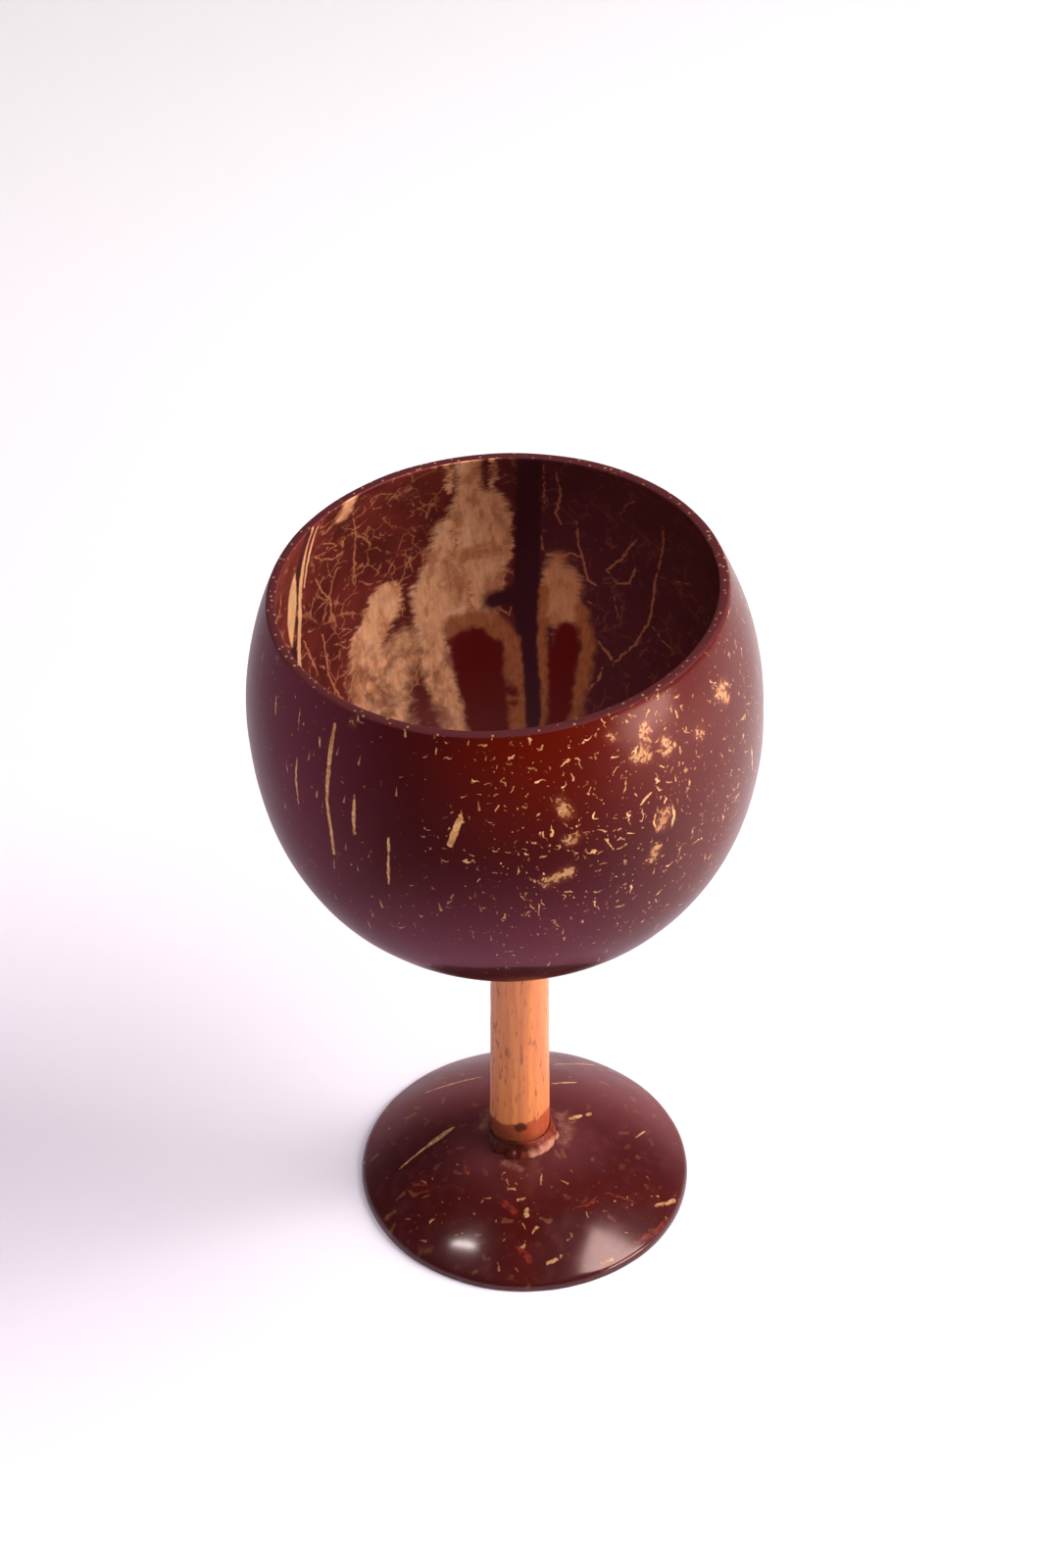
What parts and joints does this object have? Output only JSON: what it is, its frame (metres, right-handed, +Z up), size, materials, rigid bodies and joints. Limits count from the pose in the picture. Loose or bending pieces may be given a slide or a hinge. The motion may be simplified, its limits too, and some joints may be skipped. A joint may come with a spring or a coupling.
{
  "type": "coconut shell goblet",
  "caption": "Stemmed drinking cup: a polished coconut-shell bowl, open at the top, glued on a plain wooden dowel and a shallow domed foot of the same shell",
  "frame": {"origin": "Centre of the foot's flat ring, on the surface that the cup stands on", "axes": "+Z up through the mouth, +X to the right as seen in the picture, +Y away from the viewer; the bowl leans about 3 degrees towards -X"},
  "size_m": [0.1001, 0.1, 0.1607],
  "materials": {
    "bowl_shell": "hand-polished, lacquered dark coconut shell with tan flecks",
    "stem_wood": "satin, straight-grained with short dark pores",
    "foot_shell": "hand-polished, lacquered coconut shell with tan and red streaks",
    "glue": "glossy red-brown glue mixed with shell dust"
  },
  "bodies": {
    "root": {"bowl": "bowl_shell", "stem": "stem_wood", "foot": "foot_shell", "bowl_glue_bead": "glue", "foot_glue_bead": "glue", "tenon_seal": "glue", "tenon_glue_pad": "glue"}
  },
  "joints": []
}
